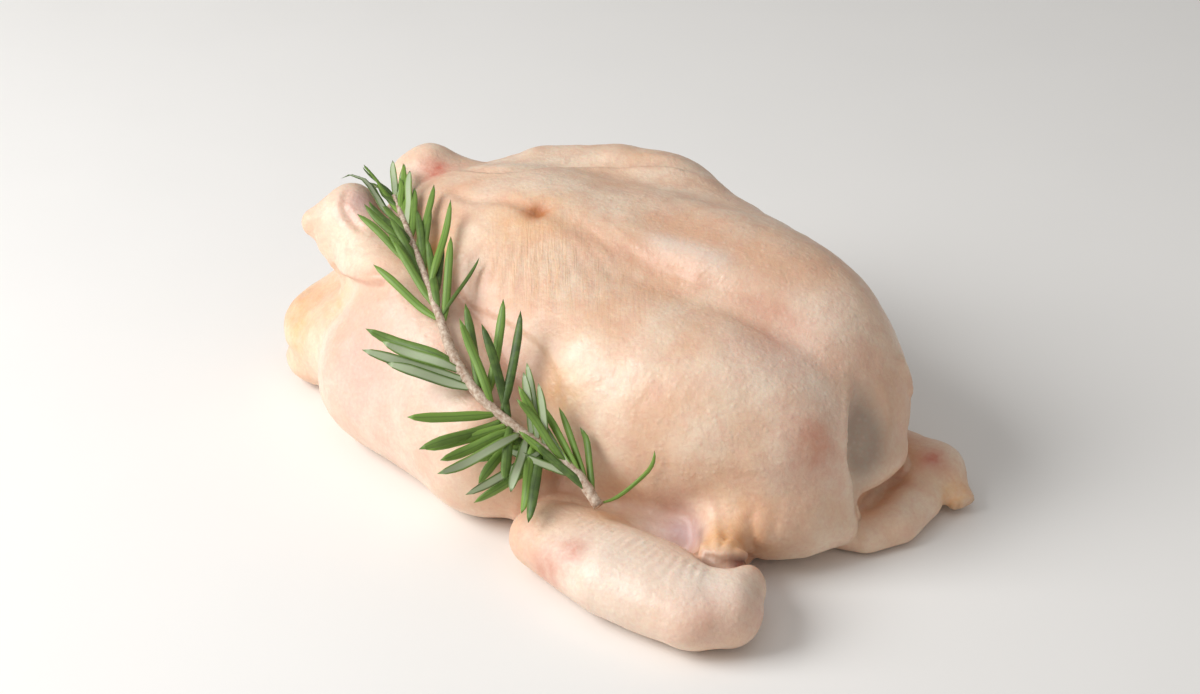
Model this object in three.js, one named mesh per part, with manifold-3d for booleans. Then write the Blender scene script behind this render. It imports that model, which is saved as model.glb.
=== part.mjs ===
// A whole raw chicken lying on its back with its legs and wings folded, and a sprig of rosemary on one leg.
// Millimetres. +X runs from tail to neck, -Y is the near side, +Z is up, and the bird rests on Z = 0.
import * as THREE from 'three';
import { mergeVertices } from 'three/addons/utils/BufferGeometryUtils.js';
import Module from 'manifold-3d';

const wasm = await Module();
wasm.setup();

const at = (x, y, z) => new THREE.Vector3(x, y, z);

// ---- driving sizes
const BUILD = 0.95; // size of this bird against the one that the forms below are laid out for
const LEAN = 8; // degrees that the trunk rolls towards its near side
const SKIN_CELL = 6.4; // side of the grid cells that the skin is drawn over
const SKIN_ROOM = new THREE.Box3(at(-165, -130, -20), at(180, 120, 115)); // space the skin is looked for in
const RELAX_ROUNDS = 8;
const RELAX_PULL = 0.6; // share of the way to its neighbours' mean that a point slides in each round

const NEAR_LEG = {
  hip: at(-63, -47, 26),
  knee: at(-4, -65, 25),
  bend: at(-24, -58, 42),
  calf: at(-54, -46, 54),
  shin: at(-82, -34, 64),
  hock: at(-98, -25, 73),
  heel: at(-101, -23, 76),
};
const FAR_LEG = {
  hip: at(-74, 38, 40),
  knee: at(-12, 60, 59),
  bend: at(-32, 57, 65),
  calf: at(-56, 45, 66),
  shin: at(-78, 31, 63.5),
  hock: at(-95, 20, 74.5),
  heel: at(-100, 15, 74),
};
const NEAR_WING = {
  shoulder: at(90, -50, 8),
  elbow: at(38, -86, 11),
  middle: at(70, -91.5, 12.5),
  wrist: at(101, -93, 12.5),
  tip: at(80, -72, 6),
  girths: [15.5, 19.5, 18.5],
};
const FAR_WING = {
  shoulder: at(96, 42, 20),
  elbow: at(60, 60, 12),
  middle: at(94, 42, 7),
  wrist: at(128.5, 31, 9.5),
  tip: at(147.5, 22, 4),
  girths: [9, 8, 12],
};

const SKIN_GAP = 1.1; // clear space between the skin and the rosemary
const STEM_RADII = { tip: 0.9, foot: 2 };
const STEM_ROUTE = [
  at(-86, -15, 79),
  at(-74, -24, 78),
  at(-51, -44, 73),
  at(-29, -61, 66),
  at(-13, -72, 58),
  at(4, -78, 51),
  at(25, -78.5, 43),
  at(42, -78, 36),
  at(54, -81, 28),
];
/**
 * Tufts of leaves along the stem from tip (0) to foot (1): how many, how long, how wide against LEAF_WIDTH,
 * at which angle to the stem (plus towards the near side, and both for one on each side in turn), how far
 * that varies, how strongly they bend towards the stem's tip, and how steeply they rise if not by LEAF_LIFT.
 */
const TUFTS = [
  { from: 0, to: 0.14, leaves: 8, length: 25, width: 0.8, angle: 14, both: true, vary: 12, bend: 0.1 },
  { from: 0.15, to: 0.4, leaves: 18, length: 31, width: 0.9, angle: 20, both: true, vary: 14, bend: 0.1 },
  { from: 0.38, to: 0.38, leaves: 1, length: 33, width: 0.45, angle: -45, both: false, vary: 0, bend: 0 },
  { from: 0.5, to: 0.58, leaves: 4, length: 34, width: 1.2, angle: 40, both: false, vary: 9, bend: 0.05 },
  { from: 0.6, to: 0.69, leaves: 5, length: 33, width: 1, angle: -50, both: false, vary: 22, bend: 0.12 },
  { from: 0.66, to: 0.72, leaves: 5, length: 33, width: 1.1, angle: 64, both: false, vary: 14, bend: 0.06 },
  { from: 0.69, to: 0.77, leaves: 5, length: 29, width: 1.1, angle: 112, both: false, vary: 24, bend: 0 },
  { from: 0.74, to: 0.8, leaves: 4, length: 24, width: 0.9, angle: -52, both: false, vary: 14, bend: 0.15 },
  { from: 0.76, to: 0.8, leaves: 3, length: 28, width: 1, angle: 62, both: false, vary: 10, bend: 0.05 },
  { from: 0.84, to: 0.97, leaves: 10, length: 27, width: 0.85, angle: 18, both: true, vary: 12, bend: 0.05 },
  { from: 0.99, to: 0.99, leaves: 1, length: 31, width: 0.45, angle: -112, both: false, vary: 0, bend: 0.5,
    lift: 0.9 },
];
const LEAF_LIFT = 0.3; // how steeply a leaf rises from the skin, against how far it turns from the stem
const LEAF_BEND = 1.1; // what the bends in the table come to on average
const LEAF_VARIES = { length: 0.15, lift: 0.22, bend: 0.6, wave: 0.05 };
const LEAF_WIDTH = 3.3;
const LEAF_DEPTH = 1.1;
const LEAF_STATIONS = [0.05, 0.3, 0.62, 0.9]; // where a leaf has its rings, from base (0) to tip (1)
const LEAF_CLEAR = 3.1; // least distance of a leaf's middle line from the skin
const LEAF_STEP = 0.04; // how far to either side of a ring the leaf's direction is measured
const OFF_SKIN_PASSES = 6;
const SPRIG_SEED = 7;

// ---- forms: each is a function that gives the signed distance from a point to a lump of meat

const TINY = 1e-6;

/** An ellipsoid with its three radii along its own axes, turned by Euler angles in degrees. */
function lump(centre, radii, turn = [0, 0, 0]) {
  const toLocal = new THREE.Matrix4().makeRotationFromEuler(
    new THREE.Euler(...turn.map(THREE.MathUtils.degToRad), 'ZYX'),
  );
  toLocal.setPosition(centre).invert();
  const inner = new THREE.Vector3();
  const outer = new THREE.Vector3();
  return (p) => {
    inner.copy(p).applyMatrix4(toLocal).divide(radii);
    outer.copy(inner).divide(radii);
    const reach = inner.length();
    if (reach < TINY) return -Math.min(...radii.toArray());
    return (reach * (reach - 1)) / outer.length();
  };
}

/** A round bar along a run of points with a radius at each, its height scaled by flat. */
function limb(points, radii, flat = 1) {
  const squeeze = at(1, 1, 1 / flat);
  const spine = points.map((v) => v.clone().multiply(squeeze));
  const q = new THREE.Vector3();
  const along = new THREE.Vector3();
  const from = new THREE.Vector3();
  return (p) => {
    q.copy(p).multiply(squeeze);
    let nearest = Infinity;
    for (let i = 0; i + 1 < spine.length; i += 1) {
      along.subVectors(spine[i + 1], spine[i]);
      from.subVectors(q, spine[i]);
      const t = THREE.MathUtils.clamp(from.dot(along) / along.lengthSq(), 0, 1);
      const radius = THREE.MathUtils.lerp(radii[i], radii[i + 1], t);
      nearest = Math.min(nearest, from.addScaledVector(along, -t).length() - radius);
    }
    return nearest;
  };
}

/** Two forms as one, with the skin bridging the fold between them over a width of about soft. */
function joined(a, b, soft) {
  return (p) => {
    const da = a(p);
    const db = b(p);
    const h = Math.max(soft - Math.abs(da - db), 0) / soft;
    return Math.min(da, db) - (h * h * soft) / 4;
  };
}

/** The first form with the second one taken out of it. */
function carved(a, b, soft) {
  const rest = joined((p) => -a(p), b, soft);
  return (p) => -rest(p);
}

/** A form rolled about a line along X through the pivot, so that it leans towards -Y. */
function leaning(form, degrees, pivot) {
  const angle = THREE.MathUtils.degToRad(degrees);
  const axis = at(1, 0, 0);
  const q = new THREE.Vector3();
  return (p) => form(q.copy(p).sub(pivot).applyAxisAngle(axis, -angle).add(pivot));
}

// ---- the bird

function trunk() {
  const nearBreast = lump(at(44, -26, 44), at(74, 38, 38), [0, 0, 4]);
  const farBreast = lump(at(36, 26, 49), at(79, 38, 38), [0, -3, -5]);
  const keel = limb([at(-10, 7, 71), at(45, 8, 72), at(92, 7, 58)], [11, 12, 11]);
  const ribs = lump(at(22, 0, 32), at(94, 64, 40));
  const crop = lump(at(87, 0, 31), at(38, 48, 34));
  const belly = lump(at(-42, 5, 52), at(62, 48, 38));
  const rump = lump(at(-76, 0, 30), at(44, 42, 28));
  let whole = joined(nearBreast, joined(farBreast, keel, 12), 5);
  whole = joined(whole, ribs, 16);
  whole = joined(whole, crop, 12);
  whole = joined(whole, belly, 30);
  return joined(whole, rump, 25);
}

function tail() {
  const top = lump(at(-110, -22, 20), at(22, 27, 14), [0, 15, 0]);
  return joined(top, lump(at(-111.5, -34.5, 9.5), at(15.5, 14, 9.5)), 4);
}

/** The skin that runs smoothly from the near thigh to the tail. */
function nearRump() {
  return lump(at(-91, -40, 25), at(17, 16, 17));
}

/** The skin that runs smoothly from the far knee to the far breast. */
function farFlank() {
  return limb([at(-12, 60, 59), at(6, 55, 60), at(24, 50, 60.5), at(44, 43, 60)], [22, 23.5, 22, 20]);
}

function nearShoulder() {
  const edge = limb([at(97, -45, 12), at(111, -36, 12.5), at(120, -26, 12.5)], [9, 8.5, 6.5]);
  return joined(lump(at(97, -30, 18), at(24, 27, 15)), edge, 5);
}

/** The sunken panel of thin skin across the neck's opening, deepest beside the breast's edge. */
function neckHollow() {
  return lump(at(125.5, -11, 43), at(8, 12.5, 24), [-25, -30, -15]);
}

function neckPouch() {
  return lump(at(116, -1, 27), at(12.5, 19, 8.5), [0, 0, -12]);
}

function neckSlit() {
  return limb([at(116, -24, 13), at(123, -12, 15), at(125, 4, 16.5), at(121, 20, 18)], [3, 4.5, 5, 4.5]);
}

/** The band of skin that lies in front of the neck, out to the far wing. */
function neckFlap() {
  const rim = [at(108, -20, 6), at(125, -15, 5), at(131, -4, 5.5), at(132, 12, 7), at(129, 28, 9)];
  const band = limb(rim, [9, 8.5, 9.5, 9.5, 9.5], 0.75);
  return joined(band, lump(at(107, 6, 4), at(16, 26, 8)), 6);
}

/** The hollow that the near breast overhangs, above the wing's upper bone. */
function armpit() {
  return limb([at(44, -72, 15), at(56, -66, 12), at(69, -61, 11), at(84, -60, 9)], [2, 5.5, 7, 6]);
}

function torso() {
  let whole = joined(leaning(trunk(), LEAN, at(0, 0, 40)), tail(), 15);
  whole = joined(whole, nearRump(), 14);
  whole = joined(whole, farFlank(), 8);
  whole = joined(whole, nearShoulder(), 12);
  whole = carved(whole, neckHollow(), 2);
  whole = joined(whole, neckPouch(), 4);
  whole = carved(whole, neckSlit(), 2);
  return carved(whole, armpit(), 3);
}

function leg({ hip, knee, bend, calf, shin, hock, heel }) {
  const thigh = limb([hip, knee], [30, 27]);
  const drumstick = limb([knee, bend, calf, shin, hock], [23, 22, 19, 12.5, 11]);
  const knuckle = limb([hock, heel], [10.5, 9]);
  return joined(joined(drumstick, knuckle, 4), thigh, 10);
}

/** The skin pulled down from the near hock, cut off square towards the tail. */
function nearSleeve() {
  const run = [at(-110, -32, 70), at(-101, -30, 65), at(-88, -29, 55), at(-74, -34, 46)];
  const tube = limb(run, [6, 11, 13, 16]);
  const rim = limb([at(-112.5, -33, 71.5), at(-107, -27.5, 76), at(-101, -23, 78)], [3.5, 4, 5]);
  return joined(tube, rim, 3);
}

function wing({ shoulder, elbow, middle, wrist, tip, girths }) {
  const sag = shoulder.clone().lerp(elbow, 0.5).add(at(0, 4, -2));
  const drumette = limb([shoulder, sag, elbow], [10, 9, 9]);
  const flat = limb([elbow, middle, wrist], girths, 0.72);
  const point = limb([wrist, tip], [10, 4.5], 0.7);
  return joined(joined(flat, drumette, 6), point, 6);
}

/** The rounded joint at the end of the near wing, with a notch before it. */
function nearWrist() {
  return lump(at(112, -88, 12.5), at(13, 15, 13), [0, 0, 35]);
}

/** The fan of skin that runs from the near breast down to the notch in the wing. */
function wingWeb() {
  return limb([at(87, -54, 15), at(95, -67, 15.5), at(104, -81, 19)], [9, 7, 4]);
}

/** The fold of skin that fills the corner between wing, thigh and ribs. */
function wingPit() {
  return lump(at(29, -66, 9), at(21, 16, 10));
}

function bird() {
  let whole = joined(torso(), joined(leg(NEAR_LEG), nearSleeve(), 4), 10);
  whole = joined(whole, leg(FAR_LEG), 10);
  whole = joined(whole, neckFlap(), 4);
  whole = joined(whole, wingPit(), 8);
  whole = joined(whole, joined(wing(NEAR_WING), nearWrist(), 3), 8);
  whole = joined(whole, wingWeb(), 8);
  return joined(whole, wing(FAR_WING), 7);
}

// ---- skin: a closed net of triangles over a form

/** The corners of a grid cell, and the pairs of them that share an edge. */
const CELL_CORNERS = [0, 1, 2, 3, 4, 5, 6, 7].map((n) => at(n & 1, (n >> 1) & 1, n >> 2));
const CELL_EDGES = CELL_CORNERS.flatMap((a, m) => CELL_CORNERS
  .map((b, n) => [m, n])
  .filter(([, n]) => m < n && a.distanceTo(CELL_CORNERS[n]) === 1));

const JUST_INSIDE = -0.01;

/** Where the form would touch itself only along the edge of a cell, fills a corner between the two parts. */
function fillPinches(values, steps, overGrid, index) {
  const squares = [[0, 1], [1, 2], [2, 0]].map(([u, v]) => [steps[u], steps[v]]);
  let found = true;
  while (found) {
    found = false;
    overGrid(1, (i, j, k) => {
      const here = index(i, j, k);
      for (const [u, v] of squares) {
        const [a, b, c, d] = [here, here + u, here + u + v, here + v].map((corner) => values[corner] < 0);
        if (a !== c || b !== d || a === b) continue;
        const [first, second] = a ? [here + u, here + v] : [here, here + u + v];
        values[values[first] < values[second] ? first : second] = JUST_INSIDE;
        found = true;
      }
    });
  }
}

/** One point for each grid cell that the surface crosses, and two triangles for each grid edge it crosses. */
function skinOver(distance, room, cell) {
  const [nx, ny, nz] = room.getSize(at(0, 0, 0)).toArray().map((side) => Math.ceil(side / cell) + 1);
  const index = (i, j, k) => i + nx * (j + ny * k);
  const place = (i, j, k) => at(i, j, k).multiplyScalar(cell).add(room.min);
  const values = new Float32Array(nx * ny * nz);
  const overGrid = (margin, visit) => {
    for (let k = margin; k + margin < nz; k += 1) {
      for (let j = margin; j + margin < ny; j += 1) {
        for (let i = margin; i + margin < nx; i += 1) visit(i, j, k);
      }
    }
  };
  overGrid(0, (i, j, k) => {
    values[index(i, j, k)] = distance(place(i, j, k));
  });
  const steps = [1, nx, nx * ny];
  fillPinches(values, steps, overGrid, index);

  const points = [];
  const pointOf = new Map();
  overGrid(0, (i, j, k) => {
    if (i + 1 === nx || j + 1 === ny || k + 1 === nz) return;
    const d = CELL_CORNERS.map((c) => values[index(i + c.x, j + c.y, k + c.z)]);
    const crossings = CELL_EDGES.filter(([m, n]) => d[m] < 0 !== d[n] < 0);
    if (!crossings.length) return;
    const mean = at(0, 0, 0);
    for (const [m, n] of crossings) {
      mean.add(CELL_CORNERS[m].clone().lerp(CELL_CORNERS[n], d[m] / (d[m] - d[n])));
    }
    mean.divideScalar(crossings.length);
    pointOf.set(index(i, j, k), points.length);
    points.push(place(i + mean.x, j + mean.y, k + mean.z));
  });

  const faces = [];
  overGrid(1, (i, j, k) => {
    const here = index(i, j, k);
    const inside = values[here] < 0;
    steps.forEach((step, axis) => {
      if (inside === values[here + step] < 0) return;
      const u = steps[(axis + 1) % 3];
      const v = steps[(axis + 2) % 3];
      const ring = [here - u - v, here - v, here, here - u].map((c) => pointOf.get(c));
      if (!inside) ring.reverse();
      const [a, b, c, d] = ring;
      const split = points[a].distanceTo(points[c]) <= points[b].distanceTo(points[d]);
      faces.push(...(split ? [[a, b, c], [a, c, d]] : [[b, c, d], [b, d, a]]));
    });
  });
  return { points, faces };
}

const SLOPE_STEP = 0.5; // how far apart the distance is compared to find its slope
const SLOPE_FLOOR = 0.3; // least squared slope that a move is worked out from, so that none goes too far

/** How fast, and in which direction, the distance grows at a point. */
function slopeOf(distance, p) {
  const change = (step) => distance(p.clone().add(step)) - distance(p.clone().sub(step));
  const slope = at(
    change(at(SLOPE_STEP, 0, 0)),
    change(at(0, SLOPE_STEP, 0)),
    change(at(0, 0, SLOPE_STEP)),
  );
  return slope.divideScalar(2 * SLOPE_STEP);
}

/** Moves a point so that it lies a wanted distance off the form. */
function settle(p, distance, wanted) {
  const slope = slopeOf(distance, p);
  return p.addScaledVector(slope, (wanted - distance(p)) / Math.max(slope.lengthSq(), SLOPE_FLOOR));
}

/** Evens out the net by sliding each point towards the mean of its neighbours and back onto the form. */
function relax({ points, faces }, distance, rounds) {
  const neighbours = points.map(() => new Set());
  for (const [a, b, c] of faces) {
    neighbours[a].add(b).add(c);
    neighbours[b].add(a).add(c);
    neighbours[c].add(a).add(b);
  }
  for (let round = 0; round < rounds; round += 1) {
    const moved = points.map((p, n) => {
      const mean = at(0, 0, 0);
      neighbours[n].forEach((m) => mean.add(points[m]));
      return p.clone().lerp(mean.divideScalar(neighbours[n].size), RELAX_PULL);
    });
    moved.forEach((p, n) => points[n].copy(settle(p, distance, 0)));
  }
}

// ---- solids

function solidOf(coordinates, corners) {
  return new wasm.Manifold(new wasm.Mesh({
    numProp: 3,
    vertProperties: new Float32Array(coordinates),
    triVerts: new Uint32Array(corners),
  }));
}

function solidOfGeometry(geometry) {
  geometry.deleteAttribute('normal');
  geometry.deleteAttribute('uv');
  const merged = mergeVertices(geometry);
  return solidOf(merged.getAttribute('position').array, merged.index.array);
}

function piece(name, solid, look) {
  const mesh = solid.getMesh();
  const geometry = new THREE.BufferGeometry();
  geometry.setAttribute('position', new THREE.BufferAttribute(new Float32Array(mesh.vertProperties), 3));
  geometry.setIndex(new THREE.BufferAttribute(new Uint32Array(mesh.triVerts), 1));
  geometry.scale(BUILD, BUILD, BUILD);
  const made = new THREE.Mesh(geometry, new THREE.MeshStandardMaterial({ metalness: 0, ...look }));
  made.name = name;
  return made;
}

// ---- pieces

const skin = bird();

function chicken() {
  const net = skinOver(skin, SKIN_ROOM, SKIN_CELL);
  relax(net, skin, RELAX_ROUNDS);
  const body = solidOf(net.points.flatMap((p) => p.toArray()), net.faces.flat());
  const ground = solidOfGeometry(new THREE.BoxGeometry(500, 400, 100).translate(0, 0, -50));
  return body.subtract(ground);
}

/** The stem: one closed tube of rings along its route, from its foot to its tip. */
function stemSolid(route) {
  const RINGS = 30;
  const SIDES = 6;
  const rows = [];
  for (let ring = RINGS; ring >= 0; ring -= 1) {
    const t = ring / RINGS;
    rows.push(ringRound(route, t, SIDES, THREE.MathUtils.lerp(STEM_RADII.tip, STEM_RADII.foot, t)));
  }
  return closedRows(rows, route.getPoint(1), route.getPoint(0));
}

function ringRound(route, t, sides, radius) {
  const { centre, side, up } = frameOn(route, t);
  const ring = [];
  for (let n = 0; n < sides; n += 1) {
    const turn = (2 * Math.PI * n) / sides;
    ring.push(centre.clone()
      .addScaledVector(side, radius * Math.cos(turn))
      .addScaledVector(up, radius * Math.sin(turn)));
  }
  return ring;
}

/** Where the stem is at t, with the directions towards its tip, off the skin and across both. */
function frameOn(route, t) {
  const centre = route.getPoint(t);
  const tipward = route.getTangent(t).negate();
  const side = at(0, 0, 0).crossVectors(slopeOf(skin, centre), tipward).normalize();
  const up = at(0, 0, 0).crossVectors(tipward, side);
  return { centre, tipward, side, up };
}

/** A closed solid over rows of ring points, with a point at either end. */
function closedRows(rows, first, last) {
  const sides = rows[0].length;
  const points = [first, ...rows.flat(), last];
  const faces = [];
  for (let n = 0; n < sides; n += 1) {
    const next = (n + 1) % sides;
    faces.push([0, 1 + next, 1 + n]);
    for (let row = 0; row + 1 < rows.length; row += 1) {
      const a = 1 + row * sides;
      const b = a + sides;
      faces.push([a + n, a + next, b + next], [a + n, b + next, b + n]);
    }
    const end = points.length - 1 - sides;
    faces.push([end + n, end + next, points.length - 1]);
  }
  return solidOf(points.flatMap((p) => p.toArray()), faces.flat());
}

/** A needle leaf: a thin wavy blade, four-sided all along, that bends towards the tip of the sprig. */
function leafSolid({ centre, tipward, side, up }, { length, width, angle, lift, bend, wave }) {
  const heading = tipward.clone().multiplyScalar(Math.cos(angle))
    .addScaledVector(side, Math.sin(angle))
    .addScaledVector(up, Math.sin(Math.abs(angle)) * lift)
    .normalize();
  const along = (s) => offSkin(centre.clone()
    .addScaledVector(heading, length * s)
    .addScaledVector(tipward, length * bend * s * s)
    .addScaledVector(up, length * wave * Math.sin(2 * Math.PI * s)), LEAF_CLEAR);
  const rows = LEAF_STATIONS.map((s) => {
    const half = (width / 2) * Math.min(1, 0.45 + 2 * s, 0.5 + 4 * (1 - s));
    const ring = [[half, 0], [0, -LEAF_DEPTH / 2], [-half, 0], [0, LEAF_DEPTH / 2]];
    const forward = along(s + LEAF_STEP).sub(along(s - LEAF_STEP)).normalize();
    const across = at(0, 0, 0).crossVectors(forward, slopeOf(skin, along(s))).normalize();
    const face = at(0, 0, 0).crossVectors(across, forward);
    return ring.map(([x, y]) => along(s).addScaledVector(across, x).addScaledVector(face, y));
  });
  return closedRows(rows, along(0), along(1));
}

/** A point, moved out from the skin if it is closer than wanted. */
function offSkin(p, wanted) {
  for (let pass = 0; pass < OFF_SKIN_PASSES && skin(p) < wanted; pass += 1) settle(p, skin, wanted);
  return p;
}

/** Repeatable draws between -1 and 1. */
function drawsFrom(seed) {
  let state = seed;
  return () => {
    state = (state * 16807) % 2147483647;
    return (2 * state) / 2147483647 - 1;
  };
}

/** The leaves of all tufts: where each one grows, its length, its angle and its small differences. */
function laidOut() {
  const draw = drawsFrom(SPRIG_SEED);
  return TUFTS.flatMap((tuft) => Array.from({ length: tuft.leaves }, (_, n) => {
    const hand = tuft.both && n % 2 ? -1 : 1;
    return {
      t: THREE.MathUtils.lerp(tuft.from, tuft.to, n / Math.max(tuft.leaves - 1, 1)),
      width: LEAF_WIDTH * tuft.width,
      length: tuft.length * (1 + LEAF_VARIES.length * draw()),
      angle: THREE.MathUtils.degToRad(hand * (tuft.angle + tuft.vary * draw())),
      lift: (tuft.lift ?? LEAF_LIFT) + LEAF_VARIES.lift * draw(),
      bend: tuft.bend * (LEAF_BEND + LEAF_VARIES.bend * draw()),
      wave: LEAF_VARIES.wave * draw(),
    };
  }));
}

function rosemarySprig() {
  const clear = STEM_RADII.foot + SKIN_GAP;
  const route = new THREE.CatmullRomCurve3(STEM_ROUTE.map((p) => offSkin(p.clone(), clear)));
  const leaves = laidOut().map((leaf) => leafSolid(frameOn(route, leaf.t), leaf));
  return withoutSlivers(wasm.Manifold.union([stemSolid(route), ...leaves]));
}

/** The largest part of a solid, without the slivers that a union can leave. */
function withoutSlivers(solid) {
  return solid.decompose().reduce((best, next) => (next.volume() > best.volume() ? next : best));
}

const part = new THREE.Group();
part.add(piece('chicken', chicken(), { color: 0xe6c3a5, roughness: 0.45 }));
part.add(piece('rosemary_sprig', rosemarySprig(), { color: 0x4f7040, roughness: 0.6 }));

export default part;
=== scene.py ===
"""A whole raw chicken on its back, with a sprig of rosemary on one leg: the looks around the fixed frame.

The forms are laid out in millimetres of a slightly larger bird and scaled by BUILD. +X runs from tail to
neck, -Y is the near side, +Z is up, and the bird rests on Z = 0.
"""

import math

import bmesh
import bpy
import numpy as np
from bpy.props import FloatProperty, FloatVectorProperty, IntProperty, PointerProperty
from mathutils import Euler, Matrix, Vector, noise


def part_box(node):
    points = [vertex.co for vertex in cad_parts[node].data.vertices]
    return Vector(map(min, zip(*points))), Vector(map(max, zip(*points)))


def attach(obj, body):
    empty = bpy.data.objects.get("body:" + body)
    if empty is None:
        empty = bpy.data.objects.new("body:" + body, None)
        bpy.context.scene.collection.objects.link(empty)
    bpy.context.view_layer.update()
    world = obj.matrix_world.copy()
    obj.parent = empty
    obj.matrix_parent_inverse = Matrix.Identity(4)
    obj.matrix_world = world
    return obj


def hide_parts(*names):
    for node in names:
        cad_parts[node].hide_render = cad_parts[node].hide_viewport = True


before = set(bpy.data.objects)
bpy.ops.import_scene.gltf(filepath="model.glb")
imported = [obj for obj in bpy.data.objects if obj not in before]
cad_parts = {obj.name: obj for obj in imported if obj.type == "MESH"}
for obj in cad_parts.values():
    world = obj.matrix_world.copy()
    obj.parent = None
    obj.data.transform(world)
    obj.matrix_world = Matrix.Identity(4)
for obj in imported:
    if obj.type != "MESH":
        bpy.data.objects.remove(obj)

bl_info = {
    "name": "Whole Raw Chicken",
    "version": (1, 0, 0),
    "blender": (4, 5, 0),
    "location": "View3D > Sidebar > Chicken",
    "description": "Finishes a raw chicken and its sprig of rosemary",
    "category": "Object",
}

BODY = "root"
MM = 0.001
BUILD = 0.95  # size of this bird against the one that the forms are laid out for
TINY = 1e-6
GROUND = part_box("chicken")[0].z
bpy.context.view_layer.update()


def at(*place):
    return np.array(place, float)


def unit(way):
    return way / np.linalg.norm(way)


def linear(code):
    """A colour as Blender's numbers, from its usual six-figure code."""
    shares = [int(code[n : n + 2], 16) / 255 for n in (0, 2, 4)]
    return (*(s / 12.92 if s <= 0.04045 else ((s + 0.055) / 1.055) ** 2.4 for s in shares), 1.0)


# ---- sizes of the bird, in layout millimetres

LEAN = 8  # degrees that the trunk rolls towards its near side

NEAR_LEG = {
    "hip": at(-63, -47, 26),
    "knee": at(-4, -65, 25),
    "bend": at(-24, -58, 42),
    "calf": at(-54, -46, 54),
    "shin": at(-82, -34, 64),
    "hock": at(-98, -25, 73),
    "heel": at(-101, -23, 76),
}
FAR_LEG = {
    "hip": at(-74, 38, 40),
    "knee": at(-12, 60, 59),
    "bend": at(-32, 57, 65),
    "calf": at(-56, 45, 66),
    "shin": at(-78, 31, 63.5),
    "hock": at(-95, 20, 74.5),
    "heel": at(-100, 15, 74),
}
NEAR_WING = {
    "shoulder": at(90, -50, 8),
    "elbow": at(38, -86, 11),
    "middle": at(70, -91.5, 12.5),
    "wrist": at(101, -93, 12.5),
    "tip": at(80, -72, 6),
    "girths": (15.5, 19.5, 18.5),
}
FAR_WING = {
    "shoulder": at(96, 42, 20),
    "elbow": at(60, 60, 12),
    "middle": at(94, 42, 7),
    "wrist": at(128.5, 31, 9.5),
    "tip": at(147.5, 22, 4),
    "girths": (9, 8, 12),
}

SKIN_GAP = 1.1  # clear space between the skin and the rosemary
STEM_RADII = {"tip": 0.9, "foot": 2.0}
BARE_STEM = {"share": 0.49, "reach": 0.1, "thicker": 0.5}  # the stretch of stem without leaves
STEM_KNOTS = 0.16  # how far the stem's knots stand out, against its radius
STEM_SIDES, STEM_RINGS = 10, 63
STEM_ROUTE = [
    at(-86, -15, 79),
    at(-74, -24, 78),
    at(-51, -44, 73),
    at(-29, -61, 66),
    at(-13, -72, 58),
    at(4, -78, 51),
    at(25, -78.5, 43),
    at(42, -78, 36),
    at(54, -81, 28),
]
LEAF_SIDES, LEAF_RINGS = 10, 12
LEAF_CLEAR = 3.1  # least distance of a leaf's middle line from the skin
LEAF_BEND = 1.1  # what the bends in the table come to on average
# A leaf's half width and thickness along it, against the full ones; how far its margins roll under; and the
# channel along its midrib.
LEAF_HALF = {"foot": 0.42, "grows": 2.2, "ends": 2.1}
LEAF_THICK = {"foot": 0.5, "grows": 2, "ends": 3, "tip": 0.15}
LEAF_ROLL = 0.32
LEAF_CHANNEL = {"depth": 0.5, "width": 0.3}
LEAF_TURNED = -0.45  # a leaf with a lower draw shows its underside
LEAF_VARIES = {"length": 0.15, "lift": 0.22, "bend": 0.6, "wave": 0.05}
# Tufts of leaves: where along the stem they grow (0 its tip, 1 its foot), how many, how long, how wide
# against the usual leaf, at which angle to the stem (plus towards the near side, and both for each side in
# turn), how far that varies, how strongly they bend towards the stem's tip, and how steeply they rise.
TUFT_COLUMNS = ("from", "to", "leaves", "length", "width", "angle", "both", "vary", "bend", "lift")
TUFTS = [dict(zip(TUFT_COLUMNS, row)) for row in (
    (0.00, 0.14, 8, 25, 0.80, 14, True, 12, 0.10, 0.3),
    (0.15, 0.40, 18, 31, 0.90, 20, True, 14, 0.10, 0.3),
    (0.38, 0.38, 1, 33, 0.45, -45, False, 0, 0.00, 0.3),
    (0.50, 0.58, 4, 34, 1.20, 40, False, 9, 0.05, 0.3),
    (0.60, 0.69, 5, 33, 1.00, -50, False, 22, 0.12, 0.3),
    (0.66, 0.72, 5, 33, 1.10, 64, False, 14, 0.06, 0.3),
    (0.69, 0.77, 5, 29, 1.10, 112, False, 24, 0.00, 0.3),
    (0.74, 0.80, 4, 24, 0.90, -52, False, 14, 0.15, 0.3),
    (0.76, 0.80, 3, 28, 1.00, 62, False, 10, 0.05, 0.3),
    (0.84, 0.97, 10, 27, 0.85, 18, True, 12, 0.05, 0.3),
    (0.99, 0.99, 1, 31, 0.45, -112, False, 0, 0.50, 0.9),
)]
SPRIG_SEED = 7


# ---- forms: each is a function that gives the signed distance from many points to a lump of meat


def lump(centre, radii, turn=(0, 0, 0)):
    """An ellipsoid with its three radii along its own axes, turned by Euler angles in degrees."""
    centre, radii = np.array(centre, float), np.array(radii, float)
    own_axes = np.array(Euler([math.radians(a) for a in turn], "XYZ").to_matrix())

    def distance(points):
        inner = (points - centre) @ own_axes / radii
        reach = np.linalg.norm(inner, axis=1)
        steepness = np.linalg.norm(inner / radii, axis=1)
        return reach * (reach - 1) / np.maximum(steepness, TINY)

    return distance


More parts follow.
